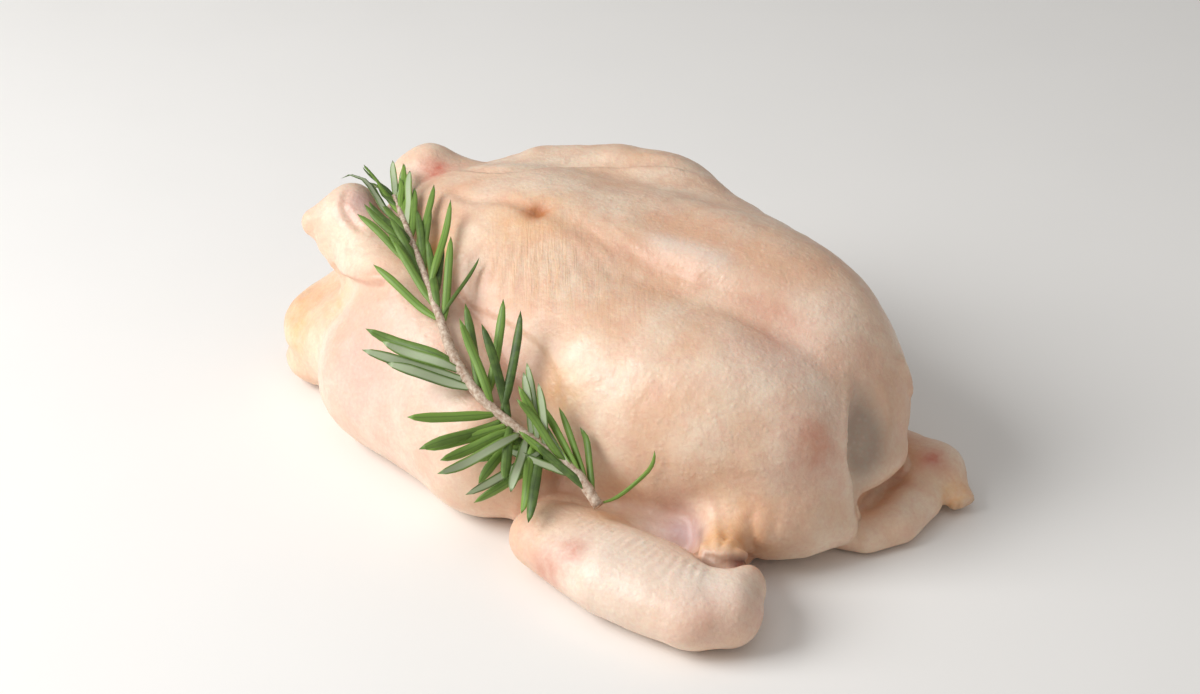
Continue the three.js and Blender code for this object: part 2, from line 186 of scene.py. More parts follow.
def limb(spine, radii, flat=1.0):
    """A round bar along a run of points with a radius at each, its height scaled by flat."""
    squeeze = at(1, 1, 1 / flat)
    spine = np.array(spine, float) * squeeze

    def distance(points):
        squeezed = points * squeeze
        nearest = np.full(len(points), np.inf)
        for start, end, first, last in zip(spine, spine[1:], radii, radii[1:]):
            along = end - start
            share = np.clip((squeezed - start) @ along / (along @ along), 0, 1)
            off = np.linalg.norm(squeezed - start - share[:, None] * along, axis=1)
            nearest = np.minimum(nearest, off - (first + (last - first) * share))
        return nearest

    return distance


def smaller(a, b, soft):
    """The smaller of two distances, rounded off where they are within soft of each other."""
    overlap = np.maximum(soft - np.abs(a - b), 0) / soft
    return np.minimum(a, b) - overlap * overlap * soft / 4


def joined(a, b, soft):
    return lambda points: smaller(a(points), b(points), soft)


def merged(form, *others):
    """A form with others joined to it one after another, each given with how soft its fold is."""
    for other, soft in others:
        form = joined(form, other, soft)
    return form


def carved(a, b, soft):
    """The first form with the second one taken out of it."""
    return lambda points: -smaller(-a(points), b(points), soft)


def leaning(form, degrees, pivot):
    """A form rolled about a line along X through the pivot, so that it leans towards -Y."""
    turn = np.array(Euler((math.radians(degrees), 0, 0)).to_matrix())
    return lambda points: form((points - pivot) @ turn + pivot)


def above_ground(form, soft):
    return lambda points: -smaller(-form(points), points[:, 2], soft)


# ---- the bird


def trunk():
    near_breast = lump((44, -26, 44), (74, 38, 38), (0, 0, 4))
    far_breast = lump((36, 26, 49), (79, 38, 38), (0, -3, -5))
    keel = limb([(-10, 7, 71), (45, 8, 72), (92, 7, 58)], (11, 12, 11))
    ribs = lump((22, 0, 32), (94, 64, 40))
    crop = lump((87, 0, 31), (38, 48, 34))
    belly = lump((-42, 5, 52), (62, 48, 38))
    rump = lump((-76, 0, 30), (44, 42, 28))
    far_side = joined(far_breast, keel, 12)
    return merged(near_breast, (far_side, 5), (ribs, 16), (crop, 12), (belly, 30), (rump, 25))


def tail():
    top = lump((-110, -22, 20), (22, 27, 14), (0, 15, 0))
    return joined(top, lump((-111.5, -34.5, 9.5), (15.5, 14, 9.5)), 4)


def near_rump():
    """The skin that runs smoothly from the near thigh to the tail."""
    return lump((-91, -40, 25), (17, 16, 17))


def near_shoulder():
    lobe = lump((97, -30, 18), (24, 27, 15))
    return joined(lobe, limb([(97, -45, 12), (111, -36, 12.5), (120, -26, 12.5)], (9, 8.5, 6.5)), 5)


def leg(hip, knee, bend, calf, shin, hock, heel):
    thigh = limb([hip, knee], (30, 27))
    drumstick = limb([knee, bend, calf, shin, hock], (23, 22, 19, 12.5, 11))
    knuckle = limb([hock, heel], (10.5, 9))
    return joined(joined(drumstick, knuckle, 4), thigh, 10)


def near_sleeve():
    """The skin pulled down from the near hock, cut off square towards the tail."""
    tube = limb([(-110, -32, 70), (-101, -30, 65), (-88, -29, 55), (-74, -34, 46)], (5.2, 9.8, 12.5, 16))
    return joined(tube, limb([(-111, -33, 70.5), (-104.5, -30, 72.5), (-99, -27, 74)], (3.9, 7.6, 8.6)), 6)


def wing(shoulder, elbow, middle, wrist, tip, girths):
    drumette = limb([shoulder, (shoulder + elbow) / 2 + at(0, 4, -2), elbow], (10, 9, 9))
    flat = limb([elbow, middle, wrist], girths, 0.72)
    point = limb([wrist, tip], (10, 4.5), 0.7)
    return joined(joined(flat, drumette, 6), point, 6)


def near_wrist():
    """The rounded joint at the end of the near wing, which the folded tip lies behind."""
    joint = lump((111.2, -88, 12.5), (12.4, 15, 13), (0, 0, 35))
    return joined(joint, lump((110.5, -77.5, 14), (8.5, 8, 9.5)), 4)


def wing_web():
    """The fan of skin that runs from the near breast down onto the wing."""
    strip = limb([(87, -54, 15), (95, -66, 16), (100, -74, 19)], (9, 7.5, 5))
    return joined(strip, lump((100, -73.5, 20), (9.5, 8, 5.5)), 4)


def wing_pit():
    """The fold of skin that fills the corner between wing, thigh and ribs."""
    return lump((29, -66, 9), (21, 16, 10))


def armpit():
    """The hollow that the near breast overhangs, above the wing's upper bone."""
    return limb([(44, -72, 15), (56, -66, 12), (69, -61, 11), (84, -60, 9)], (2, 5.5, 7, 6))


def neck_hollow():
    """The sunken panel of thin skin across the neck's opening, deepest beside the breast's edge."""
    return lump((125.5, -11, 43), (8, 12.5, 24), (-25, -30, -15))


def neck_pouch():
    return lump((116, -1, 27), (12.5, 19, 8.5), (0, 0, -12))


def neck_slit():
    return limb([(116, -24, 13), (123, -12, 15), (125, 4, 16.5), (121, 20, 18)], (3, 4.5, 5, 4.5))


def neck_flap():
    """The band of skin that lies in front of the neck, out to the far wing."""
    rim = [(108, -20, 6), (125, -15, 5), (131, -4, 5.5), (132, 12, 7), (129, 28, 9)]
    return joined(limb(rim, (9, 8.5, 9.5, 9.5, 9.5), 0.75), lump((107, 6, 4), (16, 26, 8)), 6)


def far_flank():
    """The skin that runs smoothly from the far knee to the far breast."""
    return limb([(-12, 60, 59), (6, 55, 60), (24, 50, 60.5), (44, 43, 60)], (22, 23.5, 22, 20))


def torso():
    whole = leaning(trunk(), LEAN, at(0, 0, 40))
    whole = merged(whole, (tail(), 15), (near_rump(), 14), (far_flank(), 8), (near_shoulder(), 12))
    whole = joined(carved(whole, neck_hollow(), 2), neck_pouch(), 4)
    return carved(carved(whole, neck_slit(), 2), armpit(), 3)


TORSO = torso()
NEAR_LEG_FORM = joined(leg(**NEAR_LEG), near_sleeve(), 4)
FAR_LEG_FORM = leg(**FAR_LEG)
NEAR_WING_FORM = joined(wing(**NEAR_WING), near_wrist(), 3)
FAR_WING_FORM = wing(**FAR_WING)
WEB_FORM = wing_web()


def bird():
    whole = merged(TORSO, (NEAR_LEG_FORM, 6), (FAR_LEG_FORM, 9), (neck_flap(), 2.5), (wing_pit(), 8),
                   (WEB_FORM, 8), (NEAR_WING_FORM, 2), (FAR_WING_FORM, 3))
    return above_ground(whole, 2.5)


SLOPE_STEP = 0.4
SLOPE_FLOOR = 0.3  # least squared slope that a move is worked out from, so that none goes too far


def slope_of(form, points):
    """How fast, and in which direction, the distance grows at each point."""
    steps = np.eye(3) * SLOPE_STEP
    return np.stack([form(points + s) - form(points - s) for s in steps], axis=1) / (2 * SLOPE_STEP)


def settled(points, form, wanted=0.0):
    """The points, moved so that they lie a wanted distance off the form."""
    slope = slope_of(form, points)
    steepness = np.maximum((slope * slope).sum(axis=1), SLOPE_FLOOR)
    return points + slope * ((wanted - form(points)) / steepness)[:, None]


def on_seam(points, one, other, rounds=8):
    """The points, moved onto the line where two forms meet."""
    points = np.array(points, float)
    for _ in range(rounds):
        points = settled(settled(points, one), other)
    return points


# ---- lines and patches on the skin


class Line:
    """A smooth curve through a few points, with its points close together."""

    def __init__(self, *points):
        self.points = [np.array(p, float) for p in points]

    def point(self, share):
        """The place at a share of the curve."""
        place = (len(self.points) - 1) * min(max(share, 0.0), 1.0)
        span = min(int(place), len(self.points) - 2)
        before = self.points[span - 1] if span else 2 * self.points[0] - self.points[1]
        start, end = self.points[span], self.points[span + 1]
        last = span + 2 == len(self.points)
        after = 2 * self.points[-1] - self.points[-2] if last else self.points[span + 2]
        gaps = [math.sqrt(np.linalg.norm(b - a)) for a, b in ((before, start), (start, end), (end, after))]
        return self._on_span(before, start, end, after, gaps, place - span)

    @staticmethod
    def _on_span(before, start, end, after, gaps, share):
        g0, g1, g2 = gaps
        leave = ((start - before) / g0 - (end - before) / (g0 + g1) + (end - start) / g1) * g1
        arrive = ((end - start) / g1 - (after - start) / (g1 + g2) + (after - end) / g2) * g1
        cubic = 2 * start - 2 * end + leave + arrive
        square = 3 * end - 3 * start - 2 * leave - arrive
        return start + share * (leave + share * (square + share * cubic))

    def tangent(self, share):
        """The way the curve runs at a share of it."""
        step = 1e-4
        low, high = max(share - step, 0), min(share + step, 1)
        return unit(self.point(high) - self.point(low))

    def fine(self, per_span=6):
        """Close points along the whole curve."""
        count = per_span * (len(self.points) - 1)
        return np.array([self.point(n / count) for n in range(count + 1)])


def not_near(count):
    """The distance, share and step of points that aren't near a line."""
    return np.full(count, np.inf), np.zeros(count), np.zeros((count, 3))


def near(points, line, reach):
    """For each point, its distance from the line, how far along it is, and the step from the line to it."""
    path = line.fine()
    lengths = np.concatenate([[0], np.cumsum(np.linalg.norm(np.diff(path, axis=0), axis=1))])
    close = np.all((points > path.min(0) - reach) & (points < path.max(0) + reach), axis=1)
    spots = points[close]
    distance, share, step = not_near(len(points))
    best, best_share, best_step = not_near(len(spots))
    for n, (start, end) in enumerate(zip(path, path[1:])):
        along = end - start
        t = np.clip((spots - start) @ along / max(along @ along, TINY), 0, 1)
        off = spots - start - t[:, None] * along
        far = np.linalg.norm(off, axis=1)
        nearer = far < best
        best[nearer] = far[nearer]
        best_share[nearer] = ((lengths[n] + t * (lengths[n + 1] - lengths[n])) / lengths[-1])[nearer]
        best_step[nearer] = off[nearer]
    distance[close], share[close], step[close] = best, best_share, best_step
    return distance, share, step


def bell(distance, width):
    """1 where the distance is 0, falling off smoothly over the width."""
    return np.exp(-np.square(distance / width))


def eased(value, low, high):
    """0 below the low end and 1 above the high one, with a smooth rise between them."""
    share = np.clip((value - low) / (high - low), 0, 1)
    return share * share * (3 - 2 * share)


def ends_eased(share, start=0.15, end=0.15):
    """1 along a line's middle, falling to 0 at the ends that are asked for."""
    first = eased(share, 0, start) if start else 1
    last = eased(1 - share, 0, end) if end else 1
    return first * last


def groove(points, line, width, depth, start=0.15, end=0.15):
    """The skin pressed in along a line."""
    distance, share, _ = near(points, line, 3 * width)
    return -depth * bell(distance, width) * ends_eased(share, start, end)


def ledge(points, line, toward, depth, edge, fade):
    """A fold: the skin drops sharply on one side of the line and rises slowly beyond it."""
    distance, share, step = near(points, line, 1.2 * fade)
    aside = step @ unit(at(*toward))
    dropped = eased(aside, -edge, edge) * (1 - eased(distance, 0.3 * fade, fade))
    lip = 0.35 * bell(distance, 2.5 * edge) * (aside < 0)
    return depth * (lip - np.where(aside > -edge, dropped, 0)) * ends_eased(share)


def patch(points, centre, radius):
    """1 at a place on the skin, falling off around it."""
    return bell(np.linalg.norm(points - at(*centre), axis=1), radius)


def speckle(points, size, octaves=2, shift=0.0):
    """Smooth random relief between about -1 and 1, with lumps of about this size."""
    scaled = points / size + shift
    return np.array([noise.fractal(p, 1.0, 2.0, octaves) for p in scaled.tolist()])


def fan(points, hub, toward, over, count, reach, spread=1.2):
    """Wrinkles that spread from a hub: ridges with narrow valleys, strongest halfway out."""
    offset = points - at(*hub)
    toward = unit(at(*toward))
    across = unit(np.cross(at(*over), toward))
    distance = np.linalg.norm(offset, axis=1)
    ahead, aside = offset @ toward, offset @ across
    turn = np.arctan2(aside, ahead + 0.25 * reach)
    strength = eased(distance, 0.1 * reach, 0.4 * reach) * (1 - eased(distance, 0.5 * reach, reach))
    strength *= 1 - eased(np.abs(turn), 0.6 * spread, spread)
    strength *= eased(ahead, -0.1 * reach, 0.15 * reach)
    wavy = turn * count + 0.9 * speckle(points, 0.35 * reach, 2)
    return strength * (np.abs(np.sin(wavy)) - 0.6)


# ---- the skin while it is worked on


class Skin:
    """The bird's surface as a mesh object, with its points and normals in layout millimetres."""

    def __init__(self, name):
        self.obj = bpy.data.objects.new(name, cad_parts["chicken"].data.copy())
        bpy.context.scene.collection.objects.link(self.obj)
        net = bmesh.new()
        net.from_mesh(self.obj.data)
        bmesh.ops.remove_doubles(net, verts=net.verts, dist=TINY)
        net.to_mesh(self.obj.data)
        net.free()
        self.obj.data.materials.clear()
        self.read()

    def read(self):
        """Takes the points and normals from the mesh."""
        vertices = self.obj.data.vertices
        points, normals = np.empty((2, 3 * len(vertices)))
        vertices.foreach_get("co", points)
        vertices.foreach_get("normal", normals)
        self.points = points.reshape(-1, 3) / (MM * BUILD)
        self.normals = normals.reshape(-1, 3)

    def keep(self):
        """Puts the points into the mesh."""
        mesh = self.obj.data
        mesh.vertices.foreach_set("co", (self.points * MM * BUILD).ravel())
        mesh.update()
        self.read()

    def even(self, cell):
        """A new net of even cells over the same surface."""
        remesh = self.obj.modifiers.new("Even net", "REMESH")
        remesh.mode = "VOXEL"
        remesh.voxel_size = cell
        remesh.use_smooth_shade = True
        ready = self.obj.evaluated_get(bpy.context.evaluated_depsgraph_get())
        mesh = bpy.data.meshes.new_from_object(ready)
        self.obj.modifiers.clear()
        self.obj.data = mesh
        self.cell = cell / (MM * BUILD)
        self.read()

    def settle(self, form, rounds):
        """Moves the points onto the form, each by a cell at most, so that none jumps across a narrow fold."""
        for _ in range(rounds):
            move = settled(self.points, form) - self.points
            length = np.maximum(np.linalg.norm(move, axis=1), TINY)
            self.points += move * np.minimum(1, self.cell / length)[:, None]
        self.keep()

    def push(self, amounts):
        """Moves each point along its normal, but none into the ground."""
        lifted = eased(self.points[:, 2], 0.2, 5)
        self.points += self.normals * (amounts * lifted)[:, None]
        self.points[:, 2] = np.maximum(self.points[:, 2], GROUND / (MM * BUILD))
        self.keep()

    def soften(self, rounds, pull=0.5):
        """Slides each point towards the mean of its neighbours, by one share or by each point's own."""
        mesh = self.obj.data
        pairs = np.empty(2 * len(mesh.edges), int)
        mesh.edges.foreach_get("vertices", pairs)
        a, b = pairs.reshape(-1, 2).T
        count = np.bincount(a, minlength=len(self.points)) + np.bincount(b, minlength=len(self.points))
        for _ in range(rounds):
            total = np.zeros_like(self.points)
            for axis in range(3):
                total[:, axis] += np.bincount(a, self.points[b, axis], len(self.points))
                total[:, axis] += np.bincount(b, self.points[a, axis], len(self.points))
            self.points += np.reshape(pull, (-1, 1)) * (total / count[:, None] - self.points)
        self.keep()

    def mark(self, name, amounts):
        """Stores an amount from 0 to 1 at each point for the material."""
        layer = self.obj.data.attributes.new(name, "FLOAT", "POINT")
        layer.data.foreach_set("value", np.clip(amounts, 0, 1).astype(np.float32))


KEEL_CREASE = Line((-20, -7.3, 90.7), (-5, -7, 89.2), (9, -7.8, 86), (26, -7.6, 83), (46, -7.2, 81.5),
                   (66, -4.2, 80.2), (81, -3, 76.6), (93, -2, 72.9))
# the keel's pale streak: bone showing through the skin, with a painted highlight
KEEL_STREAK = Line((14, 1, 88), (26, 1.5, 87.5), (39, 2.3, 87), (50, 2.2, 86.5), (62, 1.8, 84.5))
KEEL_RIDGE = Line((12, -0.5, 88), (35, 0.5, 86.5), (55, 0.5, 85), (68, 0.5, 82.5))
DENT = (-22.5, -6.8, 90)  # the hollow at the breastbone's end
DENT_SIZE = {"radius": 4.2, "depth": 2.8}
DOWN_BREAST = (0.51, -0.73, -0.46)  # the way that fine wrinkles run down the near breast
HOCK_FOLD = Line((-26, -7.5, 90.7), (-39, -6.9, 90.1), (-52, -10.2, 88), (-69, -4.5, 85.8))
FAR_STRIP = Line((-81.7, 14.2, 82.7), (-58, 9.4, 89.5), (-48, 14.3, 90.5), (-36, 38.3, 86.1),
                 (-16, 51.4, 86.9), (8, 64.3, 83.1))
FRONT_FOLD = Line((111.5, -2.3, 60.7), (116.3, -14.8, 54.7), (121.3, -23.8, 43.3), (124.5, -23, 29.4),
                  (127, -24, 16))
FRONT_LIP = Line((115.5, 20, 59), (118.5, 25, 51), (119.5, 26, 45.5), (121, 21, 42.5))
SLEEVE_EDGE = Line((-99, -41.5, 62), (-92, -43, 58.7), (-79, -50, 63.3), (-69, -53.9, 66.7),
                   (-55, -52.5, 71.6))
FLANK_CREASE = Line((-46, -32, 77.6), (-29, -45.8, 68.6), (-9, -48, 66.4), (12, -53, 63.5),
                    (22.7, -59.8, 57.8), (27.8, -65, 46.5), (38, -66, 42.5))
CUFF_LINE = Line((-100.2, -25, 85.2), (-98, -29.9, 83.4), (-96.2, -33, 81.1), (-92.6, -34.7, 79.4),
                 (-88, -36.3, 77.9), (-82.8, -37.2, 76.3))
WING_RIM = Line((46, -80, 27), (56.8, -82.1, 27.5), (75, -84, 28.5), (92, -85.5, 29), (101, -83, 26))
WING_CRACK = Line(*on_seam([(93, -78, 22), (98, -80, 23), (103, -81, 23), (107, -79, 22), (109, -73, 17)],
                           WEB_FORM, NEAR_WING_FORM))
WEB_FOLD = Line((82, -62.3, 20), (85.4, -66, 18.5), (88.5, -71, 19.5), (93, -78, 22))
WEB_FOOT = (106, -82, 24)  # where the wrinkles of the skin above the wing start
MEMBRANE = Line((52, -67, 17), (64, -64.5, 17), (74, -63, 17), (83, -64, 17))

# Grooves: how wide, how deep (below zero for a ridge), and how much of each end fades out.
GROOVES = (
    (KEEL_CREASE, 7, 1.0, 0.1, 0.4),
    (KEEL_CREASE, 3.4, 0.7, 0.1, 0.4),
    (KEEL_RIDGE, 5, -0.7, 0.3, 0.3),
    (HOCK_FOLD, 2.6, 1.2, 0.05, 0.3),
    (FRONT_LIP, 3, -1.6, 0.15, 0.15),
    (CUFF_LINE, 1.4, 1.3, 0.15, 0.15),
    (WING_CRACK, 1.9, 2.4, 0.25, 0),
    (WEB_FOLD, 1.8, 1.0, 0.15, 0.15),
)
# Ledges: which way the skin drops, how deep, how wide the edge is, and how far off the skin is level again.
LEDGES = (
    (FAR_STRIP, (0, 1, -0.2), 1.4, 1.2, 9),
    (FRONT_FOLD, (0.6, 1, 0.3), 2.6, 1.5, 16),
    (SLEEVE_EDGE, (0.1, -0.5, -1), 2.6, 1.2, 12),
    (FLANK_CREASE, (-0.3, -1, -0.6), 0.6, 1.5, 14),
)
# Uneven flesh: how high, how large its lumps are, how many octaves, and where its noise starts.
RELIEF = ((0.8, 30, 2, 0.0), (0.22, 8, 3, 7.3), (0.07, 3.2, 2, 3.1))
# How wide the pressed seams and the ones painted with shade are, across and under the skin.
PRESSED_SEAMS = {"leg": (2.4, 8), "wing": (2.0, 7)}
SHADE_PAINTED_SEAMS = {"leg": (4.5, 9), "wing": (3.5, 8)}
SEAM_DEPTHS = {"leg": 1.1, "wing": 1.3}
PLEATS = {"count": 17, "height": 1.2}
# The folds that are painted with shade like the seams, and how wide.
SHADE_PAINTED_FOLDS = ((KEEL_CREASE, 4.5), (HOCK_FOLD, 3), (FAR_STRIP, 2), (SLEEVE_EDGE, 2), (CUFF_LINE, 2))

# Patches of colour under the skin, and of painted shade and painted light on it: where each one lies, how far
# it spreads and how strong it is.
PATCHES = {
    "fat": (((-53, -34.5, 75.3), 8, 1.0), ((-47, -41, 73), 7, 1.0), ((-120, -31, 33), 18, 0.5),
            ((-111, -48, 25), 14, 0.5), ((-92, -42, 42), 9, 0.45), ((144, 20.5, 8.4), 8, 0.8),
            ((98, -70, 23), 8, 0.9), ((-24, -12, 89), 16, 0.5), ((25, -61, 55), 10, 0.7),
            ((100, -55, 20), 15, 0.45), ((55, -75, 25), 9, 0.5)),
    "blush": (((113.2, -35.1, 48.1), 10, 0.3), ((110, -34, 55), 11, 0.25), ((117, -33, 42), 10, 0.25),
              ((85, -14, 75), 14, 0.35), ((57, -101, 22), 6, 0.7), ((48, -104.7, 13), 8, 0.7),
              ((110, -105, 19), 9, 0.3), ((124, -88, 15), 9, 0.4), ((131, 26, 18), 5, 1.0),
              ((-85, 10, 82.3), 7, 0.8), ((-88, 14, 80), 6, 0.5), ((-92, -27, 82), 8, 0.3)),
    "mauve": (((-92, -27, 82.5), 8, 0.7), ((75, -63, 17), 8, 0.8), ((82, -64, 15), 7, 0.6),
              ((64, -65, 17), 7, 0.35), ((-60, -72, 45), 24, 0.3), ((2, -72, 56), 12, 0.35),
              ((112, -58, 30), 14, 0.25)),
    # painted shade over the sunken panel across the neck's opening, which faces away from the light
    "shade": (((114, -5, 53), 7, 0.45), ((117, -8, 46), 8, 0.6), ((119, -10, 40), 8, 0.75),
              ((121, -13, 35), 8, 0.7), ((123, -3, 41), 10, 0.35), ((124, -17, 26), 7, 0.45)),
    # the brown spot of the breastbone's hollow, and painted shade, largest over the far breast, which faces
    # away from the light
    "dent_and_shade": (((-22, -6.8, 87.5), 5.5, 1.0), ((-27, -8, 89.5), 5, 0.5), ((38, 28, 84), 42, 0.24),
             ((113.2, -35.1, 48.1), 10, 0.25), ((101, -62, 12), 10, 0.5)),
    "pink": (((-42, -72, 42), 40, 0.8), ((95, -10, 68), 28, 0.5)),
    # pale skin over the wing's bones, with painted light on the wing's end and a painted highlight on the
    # membrane under the breast
    "pale": (((80, -98, 20), 26, 0.75), ((55, -100, 15), 16, 0.5), ((108, -92, 20), 14, 0.8),
             ((79, -63, 17), 7, 0.8)),
    "streaks": (((-10, -30, 83), 22, 1.0), ((30, -30, 80), 22, 0.4)),
}


def seams(points, widths):
    """How near each point is to the near leg's seam with the trunk, and to the wings' seams with the body."""
    torso, near_leg = TORSO(points), NEAR_LEG_FORM(points)
    body = np.minimum(np.minimum(torso, WEB_FORM(points)), np.minimum(near_leg, FAR_LEG_FORM(points)))
    across, under = widths["leg"]
    leg_seam = bell(torso - near_leg, across) * bell(torso, under) * eased(points[:, 0], -60, -30)
    across, under = widths["wing"]
    wing_seams = sum(bell(body - form(points), across) * bell(body, under)
                     for form in (NEAR_WING_FORM, FAR_WING_FORM))
    return leg_seam, wing_seams


def wing_pleats(points, on_wing):
    """Fine pleats across the outer side of the near wing's rim."""
    distance, share, step = near(points, WING_RIM, 30)
    pleats = np.abs(np.sin(share * PLEATS["count"] * math.pi + 0.9 * speckle(points, 9, 2))) - 0.6
    outside = eased(-step[:, 1], 0.5, 4)
    return PLEATS["height"] * on_wing * outside * pleats * bell(distance, 12) * ends_eased(share, 0.1, 0)


def sculpted(skin):
    """Presses the creases, folds and wrinkles into the evened skin."""
    p = skin.points
    pushed = sum(groove(p, *made) for made in GROOVES) + sum(ledge(p, *made) for made in LEDGES)
    skin.push(pushed - DENT_SIZE["depth"] * patch(p, DENT, DENT_SIZE["radius"]))

    leg_seam, wing_seams = seams(skin.points, PRESSED_SEAMS)
    skin.push(-SEAM_DEPTHS["leg"] * leg_seam - SEAM_DEPTHS["wing"] * wing_seams)

    p = skin.points
    off_wing = NEAR_WING_FORM(p)
    breast = fan(p, DENT, DOWN_BREAST, over=(0, -0.4, 1), count=26, reach=64)
    web = fan(p, WEB_FOOT, (-0.5, 0.8, 0.1), over=(0, -0.5, 0.85), count=13, reach=38)
    web *= eased(off_wing, 1, 3)
    skin.push(0.28 * breast + 1.5 * web + wing_pleats(p, 1 - eased(off_wing, 1.5, 4)))

    # the thin skin under the breast is drawn smooth
    skin.soften(16, 0.5 * np.minimum(1, 1.6 * bell(near(skin.points, MEMBRANE, 24)[0], 8)))
    p = skin.points
    skin.push(sum(height * speckle(p, size, octaves, shift) for height, size, octaves, shift in RELIEF))


# ---- materials


class Shader:
    """A material's node tree, with short ways to add and link its nodes."""

    def __init__(self, name):
        self.material = bpy.data.materials.new(name)
        self.material.use_nodes = True
        self.nodes = self.material.node_tree.nodes
        self.links = self.material.node_tree.links
        self.surface = self.nodes["Principled BSDF"]

    def node(self, kind, inputs=None, **settings):
        made = self.nodes.new("ShaderNode" + kind)
        for key, value in settings.items():
            setattr(made, key, value)
        for key, value in (inputs or {}).items():
            self.put(made.inputs[key], value)
        return made

    def put(self, socket, value):
        """Links an output to the socket, or sets the socket's own value."""
        if isinstance(value, bpy.types.NodeSocket):
            self.links.new(value, socket)
        else:
            socket.default_value = value

    def place(self):
        return self.node("TexCoord").outputs["Object"]

    def noise(self, size, detail=2.0, roughness=0.5, distortion=0.0, place=None):
        made = self.node("TexNoise", {
            "Vector": place or self.place(), "Scale": 1 / size, "Detail": detail,
            "Roughness": roughness, "Distortion": distortion,
        })
        return made.outputs["Fac"]

    def streaks(self, width, length):
        """Noise drawn out along the way that the near breast's wrinkles run."""
        turn = Vector(DOWN_BREAST).to_track_quat("Y", "Z").to_euler()
        sizes = (width, length, length)
        drawn_out = self.node("Mapping", {"Vector": self.place(), "Rotation": turn, "Scale": sizes},
                              vector_type="TEXTURE")
        return self.noise(1, 3, 0.6, 0.3, drawn_out.outputs["Vector"])

    def spread(self, value, low, high, to_low=0.0, to_high=1.0):
        """The value's range from low to high, spread over another range."""
        made = self.node("MapRange", {"Value": value, "From Min": low, "From Max": high,
                                      "To Min": to_low, "To Max": to_high})
        return made.outputs["Result"]

    def mark(self, name):
        return self.node("Attribute", attribute_name=name).outputs["Fac"]

    def math(self, operation, a, b):
        return self.node("Math", {0: a, 1: b}, operation=operation).outputs["Value"]

    def mix(self, share, a, b):
        made = self.node("Mix", data_type="RGBA")
        self.put(made.inputs["Factor"], share)
        self.put(made.inputs["A"], a)
        self.put(made.inputs["B"], b)
        return made.outputs["Result"]

    def bump(self, height, distance, strength, under=None):
        inputs = {"Height": height, "Distance": distance, "Strength": strength}
        if under:
            inputs["Normal"] = under
        return self.node("Bump", inputs).outputs["Normal"]

    def finish(self, **values):
        for key, value in values.items():
            self.put(self.surface.inputs[key.replace("_", " ")], value)
        return self.material


def skin_material(look):
    shader = Shader("raw_skin")
    broad = shader.spread(shader.noise(0.034, 3, 0.55), 0.38, 0.62)
    colour = shader.mix(broad, look.cream, look.peach)
    blotches = shader.spread(shader.noise(0.008, 4, 0.65, 0.6), 0.46, 0.70, 0, 0.5)
    colour = shader.mix(blotches, colour, look.blush)
    broken = shader.spread(shader.noise(0.005, 4, 0.6), 0.3, 0.62, 0.45, 1.0)
    streaks = shader.spread(shader.streaks(0.0011, 0.014), 0.42, 0.68)
    streaked = shader.math("MULTIPLY", streaks, shader.mark("streaks"))
    colour = shader.mix(shader.math("MULTIPLY", streaked, 0.3), colour, look.fat)
    # Each mark mixes in its colour: pink, fat, blush and mauve are the skin's own; the grey, crease and deep
    # crack colours are painted shade; the dent colour is partly painted shade; and the pale one is partly
    # painted light.
    for name, tint_and_shade, strength in (
        ("pink", look.pink, 0.5),
        ("pale", look.pale, 0.7),
        ("fat", look.fat, broken),
        ("blush", look.blood, broken),
        ("mauve", look.mauve, 0.65),
        ("shade", look.shade, 0.75),
        ("crease_shade", look.crease_shade, 0.5),
        ("dent_and_shade", look.dent_and_shade, 0.9),
        ("crack_shade", look.crack_shade, 0.95),
    ):
        colour = shader.mix(shader.math("MULTIPLY", shader.mark(name), strength), colour, tint_and_shade)
    pores = shader.node("TexVoronoi", {"Vector": shader.place(), "Scale": 1 / look.pore_spacing,
                                       "Randomness": 0.8}, feature="F1")
    dots = shader.spread(pores.outputs["Distance"], 0.0, 0.42, 1.0, 0.0)
    colour = shader.mix(shader.math("MULTIPLY", dots, 0.1), colour, look.pale)
    fine = shader.noise(0.0014, 4, 0.65)
    colour = shader.mix(shader.spread(fine, 0.4, 0.65, 0.0, 0.14), colour, look.blood)

    normal = shader.bump(dots, 0.0002, 0.5)
    normal = shader.bump(shader.noise(0.0038, 3, 0.6, 0.8), 0.00045, 0.55, normal)
    normal = shader.bump(fine, 0.00015, 0.55, normal)
    normal = shader.bump(streaked, 0.0002, 0.6, normal)
    return shader.finish(
        Base_Color=colour,
        Roughness=shader.spread(shader.noise(0.007, 3), 0.35, 0.65, 0.38, 0.54),
        Normal=normal,
        Subsurface_Weight=0.2,
        Subsurface_Radius=(1.0, 0.42, 0.25),
        Subsurface_Scale=0.003,
        Coat_Weight=0.16,
        Coat_Roughness=0.26,
    )


def leaf_material(look):
    shader = Shader("rosemary_leaf")
    green = shader.mix(shader.mark("tone"), look.dark_green, look.bright_green)
    mottles = shader.spread(shader.noise(0.003, 3), 0.35, 0.65, 0, 0.35)
    green = shader.mix(mottles, green, look.bright_green)
    middle = shader.mark("midrib")
    # painted shade: the upper side darker along the midrib's channel
    green = shader.mix(shader.spread(middle, 0.82, 1.0, 0.0, 0.5), green, look.dark_green)
    felt = shader.math("MULTIPLY", shader.mark("underside"), shader.spread(middle, 0.2, 0.5))
    colour = shader.mix(felt, green, look.underside)
    normal = shader.bump(shader.noise(0.0007, 3), 0.00012, 0.5)
    return shader.finish(Base_Color=colour, Roughness=0.5, Normal=normal, Subsurface_Weight=0.08,
                         Subsurface_Radius=(0.3, 1.0, 0.2), Subsurface_Scale=0.001)


